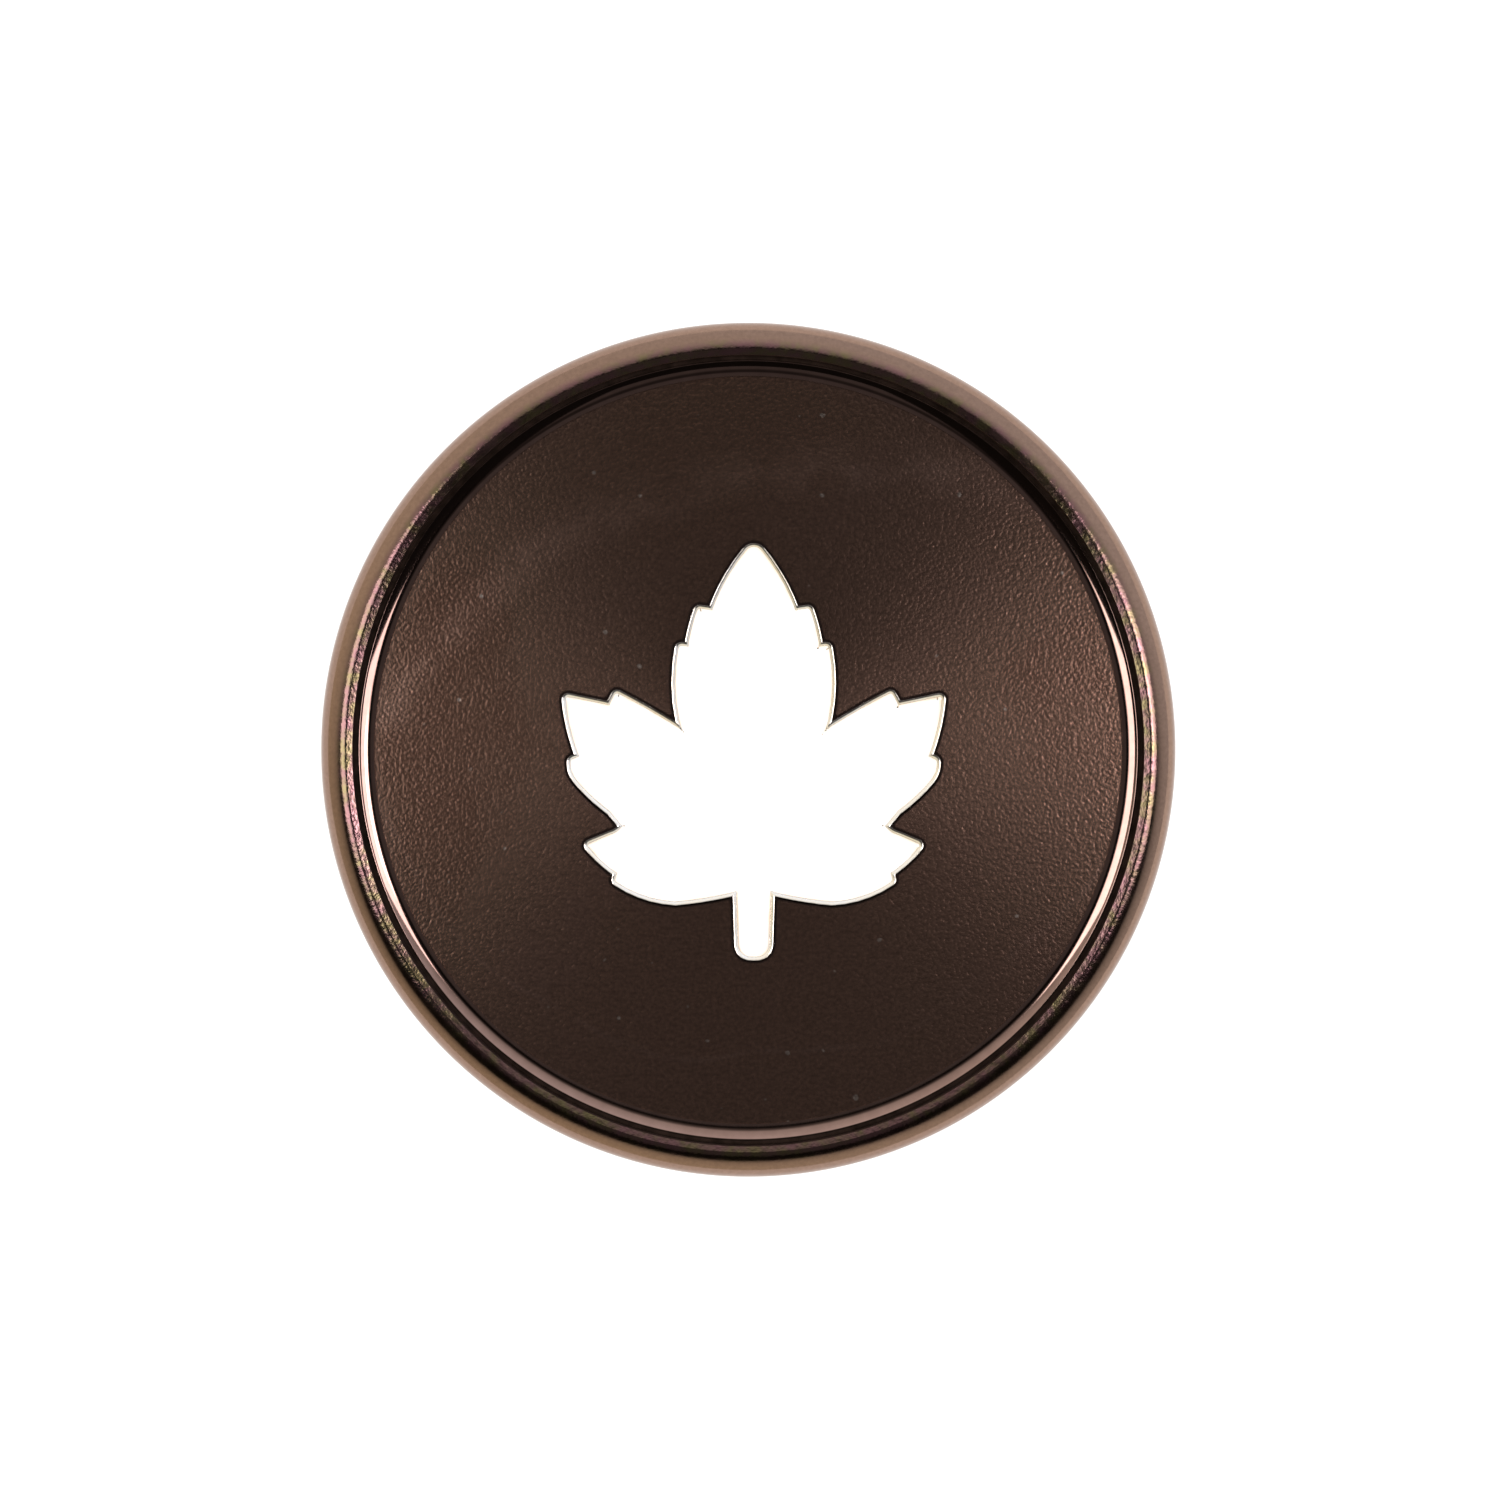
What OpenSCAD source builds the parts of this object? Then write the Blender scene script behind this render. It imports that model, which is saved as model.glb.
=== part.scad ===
// Ball marker: a coin-like golf marker with a leaf-shaped window.
// A beaded rim ring holds a thin window plate between two press-in cove rings.
// The disc lies flat on its rim: the origin is the centre of the resting plane,
// +Z is up through the disc and +Y points to the tip of the leaf.

/* [Rim ring] */
// Outside diameter of the marker
marker_d = 25; // [24:0.5:32]
// Thickness over the two rim crowns
marker_t = 2.5; // [2.3:0.1:3]
// Radius of the rim's outer edge rounding, seen in section
outer_edge_r = 0.8; // [0.7:0.02:0.86]
// Radius of the shoulder inside each crown, seen in section
shoulder_r = 0.42; // [0.36:0.02:0.6]
// Radial width of that shoulder
shoulder_w = 0.12; // [0.1:0.02:0.2]
// Width of the groove between a shoulder and its cove ring
groove_w = 0.1; // [0.06:0.01:0.14]
// Width of the flat land on each rim crown
crown_land = 0.06; // [0.06:0.02:0.2]

/* [Window plate] */
// Thickness of the plate that carries the leaf window
plate_t = 0.9; // [0.7:0.05:1]
// Size of the leaf against its drawn size
leaf_scale = 1; // [0.9:0.01:1.05]
// Sideways offset of the leaf's centre line from the disc's centre
leaf_offset_x = 0.16; // [-0.2:0.02:0.2]
// Width of the bevel round the window, on each face
leaf_bevel_w = 0.28; // [0.1:0.02:0.3]
// Depth of that bevel
leaf_bevel_h = 0.3; // [0.1:0.02:0.34]

/* [Cove rings] */
// Radial width of a cove ring
cove_w = 0.48; // [0.4:0.02:0.6]
// Radius of its shallow hollow, seen in section
cove_r = 1.7; // [1.2:0.1:3]
// Thickness of the lip that the hollow starts from
cove_lip = 0.05; // [0.04:0.01:0.1]
// Slope of the hollow at the lip, in degrees
cove_lip_slope = 5; // [0:1:8]

/* [Hidden] */
$fn = 180;

marker_r = marker_d / 2;
// The rim's bore, which the plate and both cove rings are pressed into.
bore_r = marker_r - outer_edge_r - crown_land - shoulder_w - groove_w;
mid_z = marker_t / 2;
plate_top_z = mid_z + plate_t / 2;
plate_bottom_z = mid_z - plate_t / 2;
// A cove ring's hollow runs from its lip up to a narrow flat land at the bore.
cove_land = 0.04;
cove_centre = [
    bore_r - cove_w - cove_r * sin(cove_lip_slope),
    cove_lip + cove_r * cos(cove_lip_slope)
];
cove_reach = bore_r - cove_land - cove_centre[0];
cove_h = cove_centre[1] - sqrt(cove_r * cove_r - cove_reach * cove_reach);
// Steps that a bowed stretch of the leaf's outline is drawn in.
arc_steps = 5;
// How far a cut runs past the face that it opens.
cut_over = 1;
flare_over = 0.01;

plated_rim = [0.52, 0.40, 0.34];
plated_cove = [0.58, 0.45, 0.38];
grained_plate = [0.26, 0.19, 0.16];

// Right half of the leaf, from its tip to the foot of its stem, in millimetres.
// Each entry is [x, y, bulge]: bulge is how far the stretch to the next entry bows
// outwards, and 0 makes it straight.
half_leaf = [
    [0.00, 5.88, 0.02],    // tip of the middle lobe
    [0.17, 5.80, 0.09],
    [1.17, 4.02, 0],       // first tooth
    [1.58, 4.08, 0.03],
    [1.85, 2.97, 0],       // second tooth
    [2.12, 2.99, 0.16],
    [1.97, 0.42, 0.03],    // upper notch between the lobes
    [4.00, 1.60, 0],
    [4.19, 1.24, 0],       // tooth on the side lobe's upper edge
    [5.43, 1.50, 0.06],    // tip of the side lobe
    [5.02, -0.20, 0],      // tooth on the side lobe's outer edge
    [5.28, -0.32, 0.05],
    [5.12, -0.82, 0.04],
    [4.15, -1.72, 0],
    [3.75, -2.20, -0.06],  // lower notch between the lobes
    [4.20, -2.54, 0],
    [4.78, -2.78, 0.04],   // tip of the lower lobe
    [3.92, -3.55, 0],      // tooth on the lower lobe's edge
    [3.98, -3.78, 0.12],
    [2.30, -4.34, 0.04],
    [0.43, -4.02, 0],      // where the stem leaves the blade
    [0.38, -5.58, 0.15]
];
stem_foot = [0, -5.96];

// Points of the stretch from p to q, without q, bowed by bulge to the left of its way.
function bowed(p, q, bulge) =
    let (along = q - p, side = [-along[1], along[0]] / norm(along))
    bulge == 0
        ? [p]
        : [for (i = [0 : arc_steps - 1])
            let (t = i / arc_steps)
            p + along * t + side * bulge * 4 * t * (1 - t)];

function reversed(list) = [for (i = [len(list) - 1 : -1 : 0]) list[i]];
function corner(i) = i < len(half_leaf) ? [half_leaf[i][0], half_leaf[i][1]] : stem_foot;

right_edge = [
    for (i = [0 : len(half_leaf) - 1])
        each bowed(corner(i), corner(i + 1), half_leaf[i][2])
];
// The left half is the right one mirrored, without the tip that both share.
left_edge = [for (p = reversed(right_edge)) if (p[0] > 0) [-p[0], p[1]]];

module leaf_outline() {
    translate([leaf_offset_x, 0])
        scale(leaf_scale)
            polygon(concat(right_edge, [stem_foot], left_edge));
}

// What is cut from the rim's section at its front face: the groove beside the cove
// ring, with its floor level with that ring, and the corner above the shoulder.
module face_cut() {
    wall_r = bore_r + groove_w;
    translate([bore_r - cut_over, plate_top_z + cove_h])
        square([groove_w + cut_over, marker_t]);
    difference() {
        translate([wall_r, marker_t - shoulder_r])
            square([shoulder_w, shoulder_r + cut_over]);
        translate([wall_r + shoulder_w, marker_t - shoulder_r])
            circle(r = shoulder_r);
    }
}

// Section of the rim: outer rounding, crown lands, shoulders and grooves.
module rim_section() {
    outer_x = marker_r - outer_edge_r;
    translate([outer_x, outer_edge_r])
        square([outer_edge_r, marker_t - 2 * outer_edge_r]);
    intersection() {
        translate([outer_x, 0])
            square([outer_edge_r, marker_t]);
        for (z = [outer_edge_r, marker_t - outer_edge_r])
            translate([outer_x, z])
                circle(r = outer_edge_r);
    }
    difference() {
        translate([bore_r, 0])
            square([outer_x - bore_r, marker_t]);
        face_cut();
        translate([0, marker_t])
            mirror([0, 1])
                face_cut();
    }
}

module rim_ring() {
    color(plated_rim)
    rotate_extrude($fn = 128)
        rim_section();
}

// Flare that opens the window towards a face: it is the leaf at z = 0, and
// wider by the bevel's width at the bevel's depth above that.
module window_flare() {
    minkowski() {
        linear_extrude(flare_over) leaf_outline();
        cylinder(r1 = 0, r2 = leaf_bevel_w, h = leaf_bevel_h, $fn = 12);
    }
}

module window_plate() {
    color(grained_plate)
    difference() {
        translate([0, 0, plate_bottom_z])
            cylinder(r = bore_r, h = plate_t);
        translate([0, 0, plate_bottom_z - cut_over])
            linear_extrude(plate_t + 2 * cut_over)
                leaf_outline();
        translate([0, 0, plate_top_z - leaf_bevel_h])
            window_flare();
        translate([0, 0, plate_bottom_z + leaf_bevel_h])
            mirror([0, 0, 1])
                window_flare();
    }
}

// A cove ring standing on z = 0, with its hollow facing up and in.
module cove_ring() {
    rotate_extrude($fn = 128)
    difference() {
        translate([bore_r - cove_w, 0])
            square([cove_w, cove_h]);
        translate(cove_centre)
            circle(r = cove_r);
    }
}

module front_cove_ring() {
    color(plated_cove)
    translate([0, 0, plate_top_z])
        cove_ring();
}

module back_cove_ring() {
    color(plated_cove)
    translate([0, 0, plate_bottom_z])
        mirror([0, 0, 1])
            cove_ring();
}

rim_ring();
window_plate();
front_cove_ring();
back_cove_ring();
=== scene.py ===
"""Looks of the ball marker: a plated metal disc with a leaf-shaped window.

Every piece is turned or cut again at a finer resolution than its CAD node, and the
disc keeps its CAD box. There are six finishes: the satin bead, the cove rings with a
band of painted shade, the grained plate, the polished lip round the window darkened
with painted shade, its bright cut edge, and the bore and grooves of the rim, dull and
nearly black as painted shade.
The pieces are measured in millimetres, which MM turns into metres. The floor, the
lights and the camera are in metres, and noise scales are in cycles per metre.
"""

import math

import bpy
import numpy as np
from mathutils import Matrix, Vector
from mathutils.geometry import delaunay_2d_cdt


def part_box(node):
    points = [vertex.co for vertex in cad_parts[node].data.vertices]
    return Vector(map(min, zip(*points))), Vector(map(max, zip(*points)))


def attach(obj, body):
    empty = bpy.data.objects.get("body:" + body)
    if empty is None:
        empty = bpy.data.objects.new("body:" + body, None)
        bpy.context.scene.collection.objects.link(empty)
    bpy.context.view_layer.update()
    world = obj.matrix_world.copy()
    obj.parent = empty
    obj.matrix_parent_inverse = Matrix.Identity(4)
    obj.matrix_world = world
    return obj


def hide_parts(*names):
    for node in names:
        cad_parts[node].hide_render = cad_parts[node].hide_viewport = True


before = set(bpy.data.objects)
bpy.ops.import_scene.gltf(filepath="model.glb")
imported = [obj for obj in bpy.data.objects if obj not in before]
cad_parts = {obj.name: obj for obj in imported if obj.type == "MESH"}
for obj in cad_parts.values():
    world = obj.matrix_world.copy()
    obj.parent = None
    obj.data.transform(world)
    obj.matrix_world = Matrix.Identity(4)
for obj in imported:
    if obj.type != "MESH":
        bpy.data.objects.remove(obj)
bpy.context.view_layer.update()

MM = 0.001
TURN_STEPS = 720  # segments round a turned piece
ROUND_STEPS = 28  # segments along a large round in section
CORNER_STEPS = 3  # segments along a tiny one
SHARP_ABOVE_DEG = 35  # edges that turn by more than this are shaded sharp


# ---------------------------------------------------------------- sizes from the frame


def node_box(node):
    """Lowest and highest corner of a CAD node, in millimetres."""
    low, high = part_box(node)
    return np.array(low) / MM, np.array(high) / MM


rim_low, rim_high = node_box("rim_ring")
plate_low, plate_high = node_box("window_plate")
cove_low, cove_high = node_box("front_cove_ring")

marker_r = rim_high[0]
marker_t = rim_high[2]
mid_z = marker_t / 2
bore_r = plate_high[0]
plate_top = plate_high[2]
cove_top = cove_high[2]

GROOVE_W = 0.10  # width of the groove between a cove ring and the shoulder's wall
SHOULDER_W = 0.18  # radial width of the shoulder, from that wall to the bead's crest
SHOULDER_SLOPE = 10.5  # slope of the shoulder, in degrees
CREST_R = 0.12  # radius that the shoulder meets the outer round with, in section
COVE_W = 0.48  # radial width of a cove ring
COVE_R = 1.35  # radius of its shallow hollow in section
COVE_LAND = 0.04  # narrow land on top of a cove ring, beside the bore
COVE_LIP = 0.061  # height of the lip that the hollow starts from
COVE_LIP_SLOPE = 2  # slope of the hollow at the lip, in degrees
EDGE_BREAK = 0.012  # tiny round on a cove ring's top corner

LIP_W = 0.10  # polished, nearly level lip round the window
LIP_SLOPE = 6  # slope at the lip's inner end, in degrees
WINDOW_EDGE_W = 0.29  # width of the whole rounded edge, lip included
WINDOW_EDGE_H = 0.33  # its depth
TIP_SHARPNESS = 0.35  # 0 keeps the edge's outer line an even offset, 1 mitres it

wall_r = bore_r + GROOVE_W
crest_at = wall_r + SHOULDER_W
outer_edge_r = marker_r - crest_at


# ---------------------------------------------------------------- turned pieces


def arc(centre, radius, start_deg, end_deg, steps):
    """Points of a circular arc in section, (r, z) pairs, both ends included."""
    angles = np.radians(np.linspace(start_deg, end_deg, steps + 1))
    return [(centre[0] + radius * math.cos(a), centre[1] + radius * math.sin(a)) for a in angles]


def upside_down(section):
    """The same section mirrored about the disc's middle plane, still anticlockwise."""
    return [(r, 2 * mid_z - z) for r, z in reversed(section)]


def make_object(name, vertices, faces, material):
    """A smooth-shaded mesh object from points in millimetres."""
    mesh = bpy.data.meshes.new(name)
    mesh.from_pydata([tuple(c * MM for c in v) for v in vertices], [], faces)
    mesh.validate()
    mesh.materials.append(material)
    mesh.shade_smooth()
    mesh.set_sharp_from_angle(angle=math.radians(SHARP_ABOVE_DEG))
    piece = bpy.data.objects.new(name, mesh)
    bpy.context.scene.collection.objects.link(piece)
    return piece


def turned(name, section, material):
    """A closed section of (r, z) points, anticlockwise in the r-z plane, turned about Z."""
    count = len(section)
    vertices = []
    faces = []
    for i in range(TURN_STEPS):
        a = 2 * math.pi * i / TURN_STEPS
        vertices += [(r * math.cos(a), r * math.sin(a), z) for r, z in section]
        j = (i + 1) % TURN_STEPS
        for k in range(count):
            n = (k + 1) % count
            faces.append((i * count + k, j * count + k, j * count + n, i * count + n))
    return make_object(name, vertices, faces, material)


def darkened(piece, material, from_r, to_r):
    """Gives the faces of a turned piece between two radii another material."""
    piece.data.materials.append(material)
    for polygon in piece.data.polygons:
        if from_r < math.hypot(polygon.center.x, polygon.center.y) / MM < to_r:
            polygon.material_index = 1
    return piece


def rim_section():
    """The bead: outer rounds, sloping inner shoulders, grooves and bore."""
    slope = math.tan(math.radians(SHOULDER_SLOPE))
    outer_centre = (crest_at, marker_t - outer_edge_r)
    crest_centre = (crest_at, marker_t - CREST_R)
    upper = arc(outer_centre, outer_edge_r, 0, 90, ROUND_STEPS)
    upper += arc(crest_centre, CREST_R, 90, 90 + SHOULDER_SLOPE, CORNER_STEPS)[1:]
    slope_r, slope_z = upper[-1]
    upper.append((wall_r, slope_z - (slope_r - wall_r) * slope))
    upper += [(wall_r, cove_top), (bore_r, cove_top)]
    return upper + upside_down(upper)


def cove_section():
    """The front cove ring: lip, hollow, land and the wall against the bore."""
    inner_r = bore_r - COVE_W
    lip_z = plate_top + COVE_LIP
    slope = math.radians(COVE_LIP_SLOPE)
    centre = (inner_r - COVE_R * math.sin(slope), lip_z + COVE_R * math.cos(slope))
    end_deg = math.degrees(math.acos((bore_r - COVE_LAND - centre[0]) / COVE_R))
    corner = (bore_r - EDGE_BREAK, cove_top - EDGE_BREAK)
    section = [(inner_r, plate_top), (bore_r, plate_top)]
    section += arc(corner, EDGE_BREAK, 0, 90, CORNER_STEPS)
    section += arc(centre, COVE_R, -end_deg, COVE_LIP_SLOPE - 90, ROUND_STEPS)
    return section


# ---------------------------------------------------------------- window plate

GRID_CELL = 0.035  # cell of the grid that the edge's contours are found on
LOOP_PITCH = 1.3 * GRID_CELL  # distance between points along a contour
STRAY_LOOP = 12  # a contour with no more points than this is dropped
FLAT_PITCH = 0.5  # distance between points on the flat of the plate
WALL_GAP = 0.002  # distance that the first contour stands off the window's wall
# Material slots of the plate's lip and cut edge. Slot 0 is the grained face.
LIP_SLOT = 1
EDGE_SLOT = 2


def window_outline():
    """The window's outline at mid thickness, read from the CAD plate's own mesh.

    The straight wall of the window is the only upright wall inside the plate, so the
    outline is the chain of its upper edges.
    """
    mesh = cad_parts["window_plate"].data
    points = np.array([v.co for v in mesh.vertices]) / MM
    inside_r = bore_r * 0.8
    upright = 0.1
    level_gap = 0.01
    decimals = 4
    walls = [
        p for p in mesh.polygons
        if abs(p.normal.z) < upright and np.hypot(*points[p.vertices[0]][:2]) < inside_r
    ]
    top = max(points[v][2] for wall in walls for v in wall.vertices)
    neighbours = {}
    for wall in walls:
        upper = [v for v in wall.vertices if points[v][2] > top - level_gap]
        on_top = sorted({tuple(np.round(points[v][:2], decimals)) for v in upper})
        if len(on_top) == 2:
            for a, b in (on_top, on_top[::-1]):
                neighbours.setdefault(a, set()).add(b)
    start = min(neighbours)
    chain = [start]
    last = None
    while True:
        options = [p for p in neighbours[chain[-1]] if p != last]
        last = chain[-1]
        if options[0] == start:
            break
        chain.append(options[0])
    outline = np.array(chain)
    onward = np.roll(outline, -1, axis=0)
    twice_area = np.sum(outline[:, 0] * onward[:, 1] - onward[:, 0] * outline[:, 1])
    return outline if twice_area > 0 else outline[::-1]


def window_distance(points, outline):
    """Distance of each point from the window, negative inside it, in millimetres.

    Outside a pointed tip it lies between the true distance and the mitred one.
    """
    a = outline
    b = np.roll(outline, -1, axis=0)
    along = b - a
    length2 = np.sum(along**2, axis=1)
    outward = np.stack([along[:, 1], -along[:, 0]], axis=1) / np.sqrt(length2)[:, None]
    best = np.full(len(points), np.inf)
    mitred = np.zeros(len(points))
    inside = np.zeros(len(points), bool)
    for i in range(len(a)):
        offset = points - a[i]
        t = np.clip(offset @ along[i] / length2[i], 0, 1)
        gap = np.linalg.norm(offset - t[:, None] * along[i], axis=1)
        line = np.maximum(offset @ outward[i], offset @ outward[i - 1])
        nearer = gap < best - 1e-9
        best = np.where(nearer, gap, best)
        mitred = np.where(nearer, np.where(t <= 0, line, gap), mitred)
        crosses = (a[i, 1] > points[:, 1]) != (b[i, 1] > points[:, 1])
        with np.errstate(divide="ignore", invalid="ignore"):
            at_x = a[i, 0] + (points[:, 1] - a[i, 1]) * along[i, 0] / along[i, 1]
        inside ^= crosses & (points[:, 0] < at_x)
    outside = best + TIP_SHARPNESS * (mitred - best)
    return np.where(inside, -best, outside)


def contour(grid_x, grid_y, field, level):
    """Closed loops where the field crosses the level, by marching squares."""
    above = field > level

    def crossing(i0, j0, i1, j1):
        f0, f1 = field[j0, i0], field[j1, i1]
        t = (level - f0) / (f1 - f0)
        x = grid_x[i0] + t * (grid_x[i1] - grid_x[i0])
        y = grid_y[j0] + t * (grid_y[j1] - grid_y[j0])
        return (x, y)

    crossed = above[:-1, :-1] != above[1:, 1:]
    crossed |= above[:-1, 1:] != above[1:, :-1]
    crossed |= above[:-1, :-1] != above[:-1, 1:]
    rows, cols = np.nonzero(crossed)
    links, place = {}, {}
    for j, i in zip(rows.tolist(), cols.tolist()):
        corners = [(i, j), (i + 1, j), (i + 1, j + 1), (i, j + 1)]
        cut = []
        for (i0, j0), (i1, j1) in zip(corners, corners[1:] + corners[:1]):
            if above[j0, i0] != above[j1, i1]:
                key = tuple(sorted([(i0, j0), (i1, j1)]))
                place[key] = crossing(*key[0], *key[1])
                cut.append(key)
        for one, two in zip(cut[::2], cut[1::2]):
            links.setdefault(one, []).append(two)
            links.setdefault(two, []).append(one)
    loops, used = [], set()
    for start in links:
        if start in used:
            continue
        loop, here, last = [], start, None
        while here not in used:
            used.add(here)
            loop.append(place[here])
            onward = [k for k in links[here] if k != last]
            last, here = here, onward[0]
        loops.append(np.array(loop))
    return loops


def evened(loop, spacing):
    """The closed loop with its points set evenly apart."""
    closed = np.vstack([loop, loop[:1]])
    run = np.concatenate([[0], np.cumsum(np.linalg.norm(np.diff(closed, axis=0), axis=1))])
    count = max(8, round(run[-1] / spacing))
    at = np.linspace(0, run[-1], count, endpoint=False)
    return np.stack([np.interp(at, run, closed[:, 0]), np.interp(at, run, closed[:, 1])], axis=1)


def window_edge_profile():
    """Distances from the window's wall and the depths there, from the wall outwards.

    An elliptical round rises from the wall to a nearly level lip beside the face.
    """
    lip = np.linspace(0, LIP_W, 4)[::-1]
    lip_drop = LIP_W * math.tan(math.radians(LIP_SLOPE)) / 2
    round_w = WINDOW_EDGE_W - LIP_W
    round_h = WINDOW_EDGE_H - lip_drop
    turn = np.radians(np.linspace(90, 6, 10))
    distances = np.concatenate([round_w * (1 - np.sin(turn)), WINDOW_EDGE_W - lip])
    round_depths = lip_drop + round_h * (1 - np.cos(turn))
    depths = np.concatenate([round_depths, lip_drop * (lip / LIP_W) ** 2])
    distances[0] = WALL_GAP
    return distances, depths


def plate_points(outline):
    """Points of one face of the plate, how deep each lies, and the loops that join them."""
    low, high = outline.min(axis=0) - 1, outline.max(axis=0) + 1
    grid_x = np.arange(low[0], high[0], GRID_CELL)
    grid_y = np.arange(low[1], high[1], GRID_CELL)
    grid = np.stack(np.meshgrid(grid_x, grid_y), axis=-1)
    field = window_distance(grid.reshape(-1, 2), outline).reshape(grid.shape[:2])
    points, drops, joins = [], [], []

    def add_loop(loop, depth):
        first = len(points)
        points.extend(map(tuple, loop))
        drops.extend([depth] * len(loop))
        joins.extend((first + k, first + (k + 1) % len(loop)) for k in range(len(loop)))

    for level, depth in zip(*window_edge_profile()):
        for loop in contour(grid_x, grid_y, field, level):
            if len(loop) > STRAY_LOOP:
                add_loop(evened(loop, LOOP_PITCH), depth)
    turn = np.linspace(0, 2 * math.pi, TURN_STEPS, endpoint=False)
    add_loop(np.stack([bore_r * np.cos(turn), bore_r * np.sin(turn)], axis=1), 0)
    for row, y in enumerate(np.arange(-bore_r, bore_r, FLAT_PITCH * math.sqrt(0.75))):
        xs = np.arange(-bore_r, bore_r, FLAT_PITCH) + (row % 2) * FLAT_PITCH / 2
        spread = np.stack([xs, np.full(len(xs), y)], axis=1)
        clear = np.hypot(xs, y) < bore_r - FLAT_PITCH / 2
        clear &= window_distance(spread, outline) > WINDOW_EDGE_W + FLAT_PITCH / 3
        points.extend(map(tuple, spread[clear]))
        drops.extend([0.0] * int(clear.sum()))
    return points, drops, joins


def plate_face(outline):
    """One face of the plate: its points, how deep each lies, and its triangles."""
    points, drops, joins = plate_points(outline)
    flat, _, triangles, origin, _, _ = delaunay_2d_cdt(
        [Vector(p) for p in points], joins, [], 0, 1e-6, True
    )
    depths = [drops[o[0]] if o else 0.0 for o in origin]
    where = np.array([p[:] for p in flat])
    centres = np.array([where[list(t)].mean(axis=0) for t in triangles])
    keep = window_distance(centres, outline) > 0
    return where, depths, [t for t, k in zip(triangles, keep) if k]


def window_plate(material, lip_material, edge_material):
    """The thin plate, with a lip and a round on both faces of its leaf window."""
    outline = window_outline()
    where, depths, triangles = plate_face(outline)
    count = len(where)
    vertices = [(*p, plate_top - d) for p, d in zip(where, depths)]
    vertices += [(*p, 2 * mid_z - plate_top + d) for p, d in zip(where, depths)]
    faces = [tuple(t) for t in triangles]
    faces += [tuple(count + v for v in reversed(t)) for t in triangles]
    edges = [(a, b) for t in triangles for a, b in zip(t, t[1:] + t[:1])]
    both_ways = set(edges)
    faces += [(b, a, count + a, count + b) for a, b in edges if (b, a) not in both_ways]

    plate = make_object("window_plate_fine", vertices, faces, material)
    plate.data.materials.append(lip_material)
    plate.data.materials.append(edge_material)
    reach = window_distance(np.array([v.co[:2] for v in plate.data.vertices]) / MM, outline)
    for polygon in plate.data.polygons:
        middle = reach[list(polygon.vertices)].mean()
        if middle < WINDOW_EDGE_W - LIP_W:
            polygon.material_index = EDGE_SLOT
        elif middle < WINDOW_EDGE_W - LIP_W / 8:
            polygon.material_index = LIP_SLOT
    return plate


# ---------------------------------------------------------------- material helpers

# Sockets of the Mix node that carry colours.
MIX_FIRST = 6
MIX_SECOND = 7
MIX_RESULT = 2


def new_material(name):
    """A metal material, its node tree and its Principled shader."""
    material = bpy.data.materials.new(name)
    material.use_nodes = True
    tree = material.node_tree
    shader = tree.nodes["Principled BSDF"]
    shader.inputs["Metallic"].default_value = 1.0
    return material, tree, shader


def add(tree, kind, **settings):
    """A new node with its settings."""
    node = tree.nodes.new(kind)
    for key, value in settings.items():
        setattr(node, key, value)
    return node


def noise(tree, scale, detail):
    """Noise in the object's own space."""
    place = add(tree, "ShaderNodeTexCoord")
    node = add(tree, "ShaderNodeTexNoise")
    node.inputs["Scale"].default_value = scale
    node.inputs["Detail"].default_value = detail
    tree.links.new(place.outputs["Object"], node.inputs["Vector"])
    return node.outputs["Fac"]


def ramp(tree, value, stops):
    """Colour ramp with stops of (position, (r, g, b))."""
    node = add(tree, "ShaderNodeValToRGB")
    elements = node.color_ramp.elements
    while len(elements) < len(stops):
        elements.new(0.5)
    for element, (position, colour) in zip(elements, stops):
        element.position = position
        element.color = (*colour, 1)
    tree.links.new(value, node.inputs["Fac"])
    return node.outputs["Color"]


def mottled(tree, value, darker, lighter):
    """Colour that runs from the darker to the lighter one with a noise value."""
    return ramp(tree, value, [(0.3, darker), (0.7, lighter)])


def remap(tree, value, low, high, out_low, out_high):
    """The value moved from one range to another, and kept inside the second."""
    node = add(tree, "ShaderNodeMapRange")
    node.inputs["From Min"].default_value = low
    node.inputs["From Max"].default_value = high
    node.inputs["To Min"].default_value = out_low
    node.inputs["To Max"].default_value = out_high
    tree.links.new(value, node.inputs["Value"])
    return node.outputs["Result"]


def uneven_roughness(tree, shader, scale, detail, low, high):
    """Roughness that varies between two values with noise."""
    rough = remap(tree, noise(tree, scale, detail), 0.3, 0.7, low, high)
    tree.links.new(rough, shader.inputs["Roughness"])


def bump(tree, value, height_mm):
    """A bump node that raises the surface by up to a height."""
    node = add(tree, "ShaderNodeBump")
    node.inputs["Distance"].default_value = height_mm * MM
    node.inputs["Strength"].default_value = 1.0
    tree.links.new(value, node.inputs["Height"])
    return node


def from_axis(tree):
    """Distance from the disc's axis, in metres."""
    place = add(tree, "ShaderNodeTexCoord")
    flat = add(tree, "ShaderNodeVectorMath", operation="MULTIPLY")
    flat.inputs[1].default_value = (1, 1, 0)
    tree.links.new(place.outputs["Object"], flat.inputs[0])
    reach = add(tree, "ShaderNodeVectorMath", operation="LENGTH")
    tree.links.new(flat.outputs["Vector"], reach.inputs[0])
    return reach.outputs["Value"]


def mixed(tree, share, first, second):
    """First colour where the share is 0, second where it is 1."""
    node = add(tree, "ShaderNodeMix", data_type="RGBA")
    tree.links.new(share, node.inputs["Factor"])
    tree.links.new(first, node.inputs[MIX_FIRST])
    tree.links.new(second, node.inputs[MIX_SECOND])
    return node.outputs[MIX_RESULT]


def turning_marks(tree, shader, strength):
    """Spreads a metal's reflection across its fine turning marks round the Z axis."""
    shader.inputs["Anisotropic"].default_value = strength
    shader.inputs["Anisotropic Rotation"].default_value = 0.25
    round_z = add(tree, "ShaderNodeTangent", direction_type="RADIAL", axis="Z")
    tree.links.new(round_z.outputs["Tangent"], shader.inputs["Tangent"])


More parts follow.
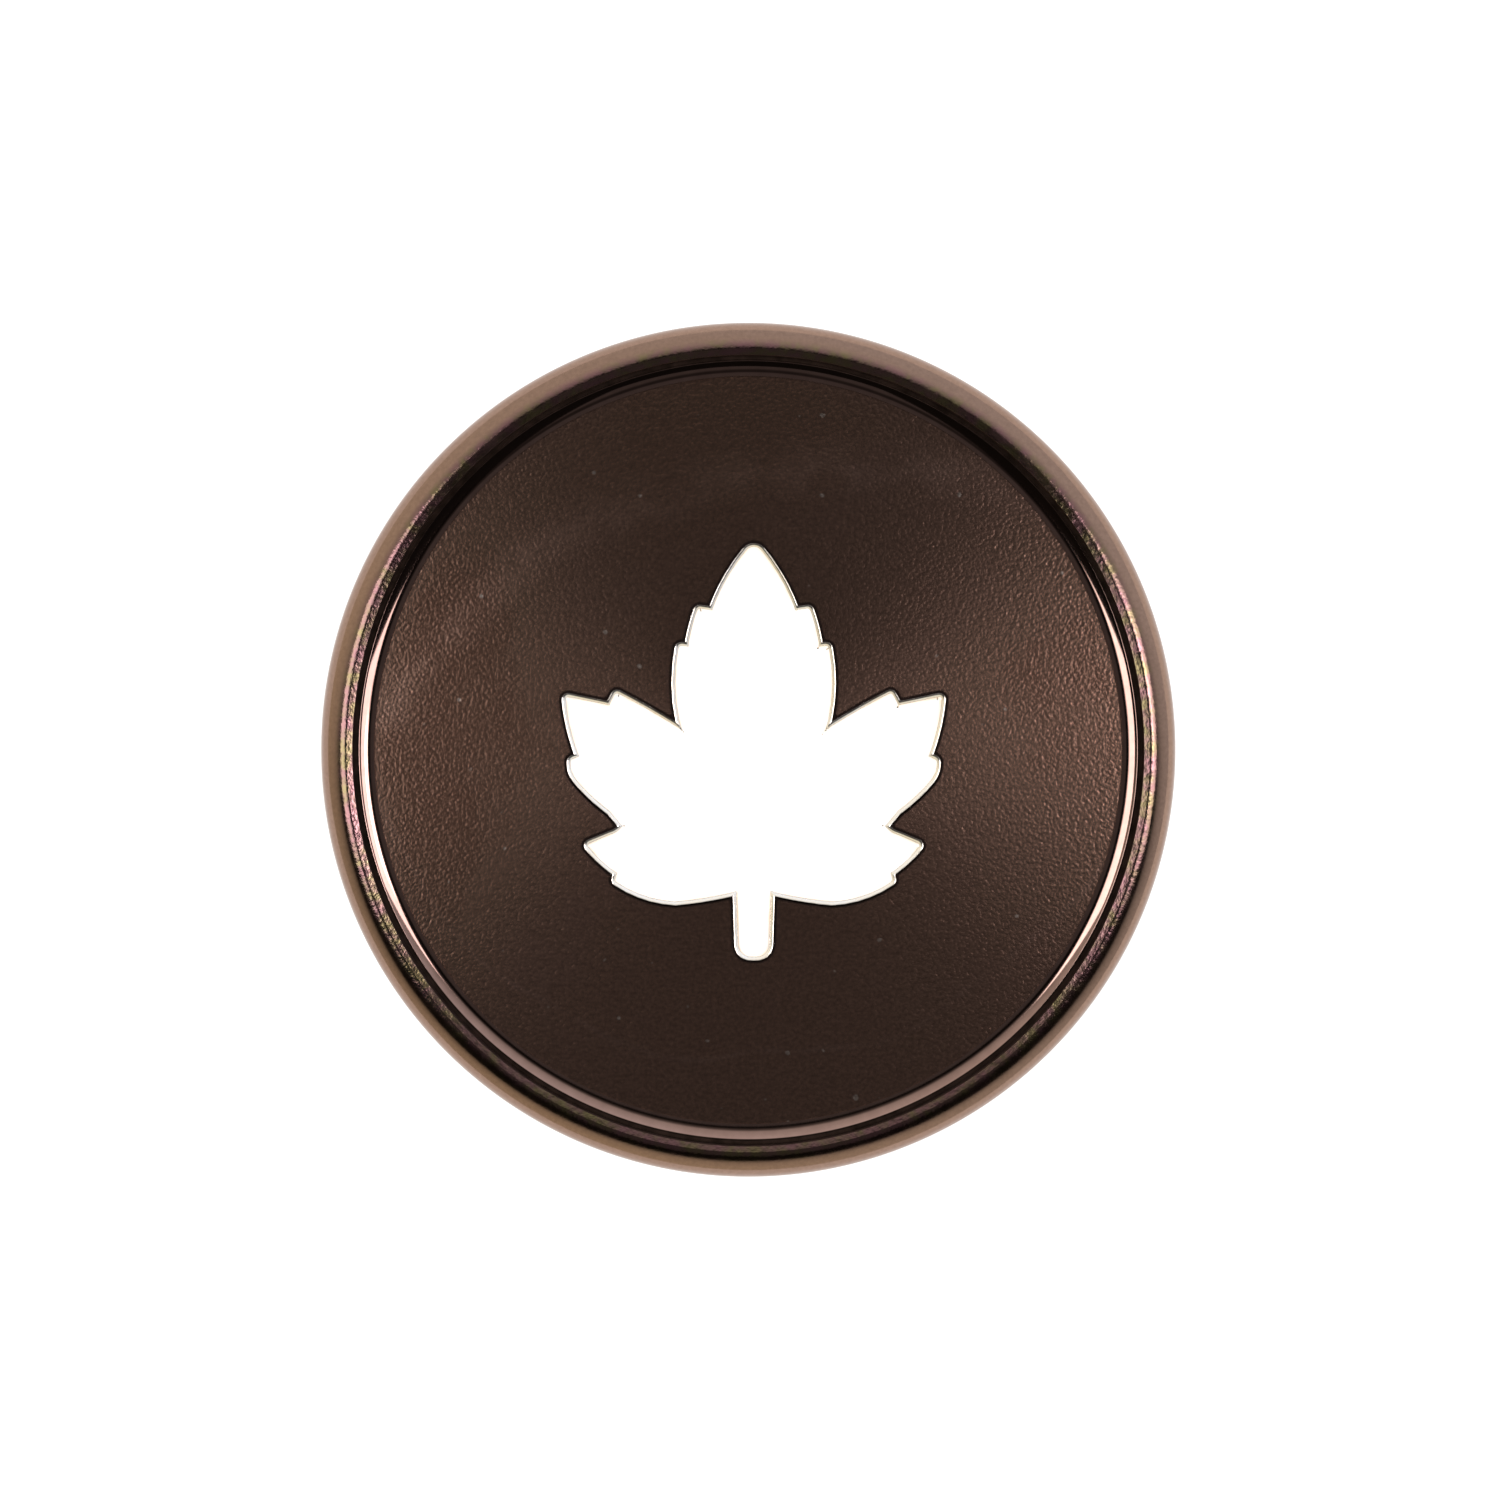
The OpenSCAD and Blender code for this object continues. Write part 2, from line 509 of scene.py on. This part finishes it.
def wipe_mark(tree, centre, radius, width, patchiness):
    """Share, from 0 to 1, of a faint arc left by a cloth. Lengths are in millimetres."""
    wander_by = 0.35 * MM
    place = add(tree, "ShaderNodeTexCoord")
    reach = add(tree, "ShaderNodeVectorMath", operation="DISTANCE")
    reach.inputs[1].default_value = (centre[0] * MM, centre[1] * MM, plate_top * MM)
    tree.links.new(place.outputs["Object"], reach.inputs[0])
    wander = remap(tree, noise(tree, 180, 2), 0.3, 0.7, -wander_by, wander_by)
    along = add(tree, "ShaderNodeMath", operation="ADD")
    tree.links.new(reach.outputs["Value"], along.inputs[0])
    tree.links.new(wander, along.inputs[1])
    off = add(tree, "ShaderNodeMath", operation="SUBTRACT")
    off.inputs[1].default_value = radius * MM
    tree.links.new(along.outputs["Value"], off.inputs[0])
    gap = add(tree, "ShaderNodeMath", operation="ABSOLUTE")
    tree.links.new(off.outputs["Value"], gap.inputs[0])
    band = remap(tree, gap.outputs["Value"], 0, width * MM, 1, 0)
    patches = remap(tree, noise(tree, patchiness, 3), 0.35, 0.65, 0.15, 1)
    share = add(tree, "ShaderNodeMath", operation="MULTIPLY")
    tree.links.new(band, share.inputs[0])
    tree.links.new(patches, share.inputs[1])
    return share.outputs["Value"]


# ---------------------------------------------------------------- finishes


def satin_plating():
    """The bead: satin, with turning marks. Its inner side is speckled and iridescent."""
    material, tree, shader = new_material("satin_coffee_plating")
    sheen_end = (crest_at + 0.1) * MM
    plain_start = sheen_end + 0.2 * MM
    on_crest = remap(tree, from_axis(tree), sheen_end, plain_start, 1, 0)
    speckle = noise(tree, 9000, 2)
    tone = mottled(tree, speckle, (0.245, 0.156, 0.116), (0.285, 0.182, 0.136))
    sheen = ramp(tree, noise(tree, 2200, 2), [
        (0.36, (0.210, 0.112, 0.118)),
        (0.50, (0.185, 0.118, 0.098)),
        (0.64, (0.185, 0.148, 0.080)),
    ])
    tree.links.new(mixed(tree, on_crest, tone, sheen), shader.inputs["Base Color"])
    uneven_roughness(tree, shader, 2500, 2, 0.12, 0.16)
    turning_marks(tree, shader, 0.3)
    relief = bump(tree, speckle, 0.005)
    tree.links.new(remap(tree, on_crest, 0, 1, 0.2, 0.9), relief.inputs["Strength"])
    tree.links.new(relief.outputs["Normal"], shader.inputs["Normal"])
    return material


def cove_plating():
    """The cove rings: satin at the lip, mirror bright further up, with a band of painted shade
    between.
    """
    material, tree, shader = new_material("cove_coffee_plating")
    lip_r = (bore_r - COVE_W) * MM
    bright_r = (bore_r - COVE_W * 0.55) * MM
    mottle = noise(tree, 3000, 2)
    tone = mottled(tree, mottle, (0.30, 0.192, 0.165), (0.34, 0.220, 0.190))
    shade = mottled(tree, mottle, (0.10, 0.062, 0.052), (0.12, 0.075, 0.062))
    reach = from_axis(tree)
    across = remap(tree, reach, lip_r, bore_r * MM, 0, 1)
    # Painted shade: a band across the hollow where the base colour turns to the darker shade
    # tone.
    line = ramp(tree, across, [
        (0.20, (0, 0, 0)),
        (0.27, (1, 1, 1)),
        (0.36, (1, 1, 1)),
        (0.47, (0, 0, 0)),
    ])
    tree.links.new(mixed(tree, line, tone, shade), shader.inputs["Base Color"])
    rough = remap(tree, reach, lip_r, bright_r, 0.12, 0.06)
    tree.links.new(rough, shader.inputs["Roughness"])
    return material


def grained_plating():
    """The plate: fine blasted grain over turning marks, two faint arcs and a few specks."""
    material, tree, shader = new_material("grained_coffee_plating")
    grain = noise(tree, 9500, 1)
    tone = mottled(tree, grain, (0.165, 0.100, 0.077), (0.245, 0.148, 0.113))
    pale = mottled(tree, grain, (0.192, 0.120, 0.096), (0.278, 0.173, 0.138))
    bare = mottled(tree, grain, (0.32, 0.25, 0.22), (0.48, 0.40, 0.36))
    long_arc = wipe_mark(tree, (2.6, -7.6), 16.0, 0.90, 900)
    short_arc = wipe_mark(tree, (0.3, 3.0), 12.0, 0.14, 1600)
    marked = mixed(tree, short_arc, mixed(tree, long_arc, tone, pale), pale)
    specks = remap(tree, noise(tree, 3000, 0), 0.83, 0.86, 0, 1)
    tree.links.new(mixed(tree, specks, marked, bare), shader.inputs["Base Color"])
    rough = remap(tree, long_arc, 0, 1, 0.19, 0.21)
    tree.links.new(rough, shader.inputs["Roughness"])
    turning_marks(tree, shader, 0.5)
    relief = bump(tree, grain, 0.0058)
    tree.links.new(relief.outputs["Normal"], shader.inputs["Normal"])
    return material


def lip_plating():
    """The lip round the window: the same plating, polished, and darker as painted shade."""
    material, tree, shader = new_material("polished_coffee_plating")
    # The darker tone is painted shade, added on top of the real polish.
    tone = mottled(tree, noise(tree, 3000, 2), (0.110, 0.070, 0.060), (0.145, 0.093, 0.080))
    tree.links.new(tone, shader.inputs["Base Color"])
    uneven_roughness(tree, shader, 1800, 3, 0.05, 0.10)
    return material


def painted_groove_shade():
    """Bore and grooves of the rim, and the land and wall beside the bore on each cove ring: dull
    and nearly black, painted shade for these narrow recesses.
    """
    material, tree, shader = new_material("painted_groove_shade")
    tone = mottled(tree, noise(tree, 2500, 2), (0.020, 0.013, 0.010), (0.045, 0.028, 0.022))
    tree.links.new(tone, shader.inputs["Base Color"])
    uneven_roughness(tree, shader, 4000, 2, 0.45, 0.60)
    return material


def bright_edge():
    """The cut edge of the window: brighter metal, burnished, with faint gold patches."""
    material, tree, shader = new_material("bright_cut_edge")
    silver = (0.94, 0.90, 0.86)
    gold = (0.95, 0.86, 0.74)
    tone = ramp(tree, noise(tree, 1500, 2), [(0.35, silver), (0.7, gold)])
    tree.links.new(tone, shader.inputs["Base Color"])
    uneven_roughness(tree, shader, 4000, 2, 0.14, 0.24)
    return material


def floor_material():
    """Plain, evenly pale and without gloss."""
    material = bpy.data.materials.new("pale_floor")
    material.use_nodes = True
    shader = material.node_tree.nodes["Principled BSDF"]
    shader.inputs["Base Color"].default_value = (0.45, 0.45, 0.45, 1)
    shader.inputs["Roughness"].default_value = 0.9
    shader.inputs["Specular IOR Level"].default_value = 0.0
    shader.inputs["Emission Color"].default_value = (1, 1, 1, 1)
    shader.inputs["Emission Strength"].default_value = 1.0
    return material


# ---------------------------------------------------------------- stage, light, camera

LIGHT_DISTANCE = 0.4
# Each light's name, azimuth and elevation in degrees, size, power and colour.
LIGHTS = [
    ("left_soft_box", 178, 69.5, (0.13, 0.105), 0.185, (1.0, 0.97, 0.95)),
    ("right_soft_box", 1, 68, (0.12, 0.112), 0.175, (1.0, 0.94, 0.95)),
    ("small_lamp", 3, 73, (0.05, 0.05), 0.06, (1.0, 0.95, 0.94)),
    ("overhead_glow", 270, 79.5, (0.112, 0.18), 0.0054, (1.0, 0.96, 0.94)),
]


def make_floor():
    """A wide square under the disc."""
    half = 1.5
    mesh = bpy.data.meshes.new("floor")
    corners = [(-half, -half, 0), (half, -half, 0), (half, half, 0), (-half, half, 0)]
    mesh.from_pydata(corners, [], [(0, 1, 2, 3)])
    mesh.materials.append(floor_material())
    floor = bpy.data.objects.new("floor", mesh)
    bpy.context.scene.collection.objects.link(floor)


def soft_box(name, azimuth_deg, elevation_deg, size, power, colour):
    """A rectangular light aimed at the disc. Azimuth 0 is +X and 90 is +Y."""
    a, e = math.radians(azimuth_deg), math.radians(elevation_deg)
    towards = Vector((math.cos(a) * math.cos(e), math.sin(a) * math.cos(e), math.sin(e)))
    data = bpy.data.lights.new(name, "AREA")
    data.shape = "RECTANGLE"
    data.size, data.size_y = size
    data.energy = power
    data.color = colour
    light = bpy.data.objects.new(name, data)
    light.location = towards * LIGHT_DISTANCE
    light.rotation_mode = "QUATERNION"
    light.rotation_quaternion = (-towards).to_track_quat("-Z", "Y")
    bpy.context.scene.collection.objects.link(light)


def make_world():
    """A pale room, warmer towards -X and -Y, with a dark patch overhead.

    The patch reaches further down the -Y side than the +Y side.
    """
    patch_width = 0.75
    patch_height = 0.46
    patch_shift = 0.26
    cool_side = (0.8, 0.6, 0)
    world = bpy.data.worlds.new("studio")
    world.use_nodes = True
    tree = world.node_tree
    background = tree.nodes["Background"]
    place = add(tree, "ShaderNodeTexCoord")
    squeeze = add(tree, "ShaderNodeVectorMath", operation="MULTIPLY_ADD")
    squeeze.inputs[1].default_value = (1 / patch_width, 1 / patch_height, 0)
    squeeze.inputs[2].default_value = (0, patch_shift / patch_height, 0)
    tree.links.new(place.outputs["Generated"], squeeze.inputs[0])
    reach = add(tree, "ShaderNodeVectorMath", operation="LENGTH")
    tree.links.new(squeeze.outputs["Vector"], reach.inputs[0])
    share = remap(tree, reach.outputs["Value"], 0, 2, 0, 1)
    level = ramp(tree, share, [
        (0.43, (0.010, 0.010, 0.010)),
        (0.50, (0.42, 0.42, 0.42)),
        (0.62, (0.75, 0.75, 0.75)),
        (0.85, (1.00, 1.00, 1.00)),
    ])
    across = add(tree, "ShaderNodeVectorMath", operation="DOT_PRODUCT")
    across.inputs[1].default_value = cool_side
    tree.links.new(place.outputs["Generated"], across.inputs[0])
    tint = ramp(tree, remap(tree, across.outputs["Value"], -1, 1, 0, 1), [
        (0.1, (1.0, 0.92, 0.72)),
        (0.5, (1.0, 0.97, 0.90)),
        (0.9, (0.97, 1.0, 1.06)),
    ])
    tinted = add(tree, "ShaderNodeVectorMath", operation="MULTIPLY")
    tree.links.new(level, tinted.inputs[0])
    tree.links.new(tint, tinted.inputs[1])
    tree.links.new(tinted.outputs["Vector"], background.inputs["Color"])
    bpy.context.scene.world = world


def make_camera():
    """Looks down at the front face, a little from +Y, with the leaf's tip up."""
    distance = 0.12
    frame_width = 0.0436
    lean = math.radians(1.5)
    aim = Vector((0.05, 0.045, marker_t)) * MM
    back = Vector((0, math.sin(lean), math.cos(lean)))
    data = bpy.data.cameras.new("camera")
    data.sensor_width = 36
    data.lens = data.sensor_width / 2 / (frame_width / 2 / distance)
    data.clip_start = 0.01
    data.clip_end = 10
    camera = bpy.data.objects.new("camera", data)
    camera.location = aim + back * distance
    camera.rotation_euler = (-lean, 0, 0)
    bpy.context.scene.collection.objects.link(camera)
    bpy.context.scene.camera = camera


# ---------------------------------------------------------------- build

satin = satin_plating()
cove_finish = cove_plating()
grained = grained_plating()
lip_finish = lip_plating()
bright = bright_edge()
dark = painted_groove_shade()

# The rim's bore and groove get painted shade: a nearly black finish inside wall_r.
rim = darkened(turned("rim_ring_fine", rim_section(), satin), dark, 0, wall_r)
front_cove = turned("front_cove_ring_fine", cove_section(), cove_finish)
back_cove = turned("back_cove_ring_fine", upside_down(cove_section()), cove_finish)
# Each cove ring's land and wall beside the bore get the same painted shade.
for cove in (front_cove, back_cove):
    darkened(cove, dark, bore_r - COVE_LAND, marker_r)
pieces = {
    "rim_ring": (rim, "rim_plating"),
    "front_cove_ring": (front_cove, "mirror_plating"),
    "back_cove_ring": (back_cove, "mirror_plating"),
    "window_plate": (window_plate(grained, lip_finish, bright), "grained_plating"),
}
for node, (piece, slot) in pieces.items():
    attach(piece, "root")
    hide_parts(node)

make_floor()
make_world()
for light in LIGHTS:
    soft_box(*light)
make_camera()
bpy.context.scene.view_settings.view_transform = "Standard"
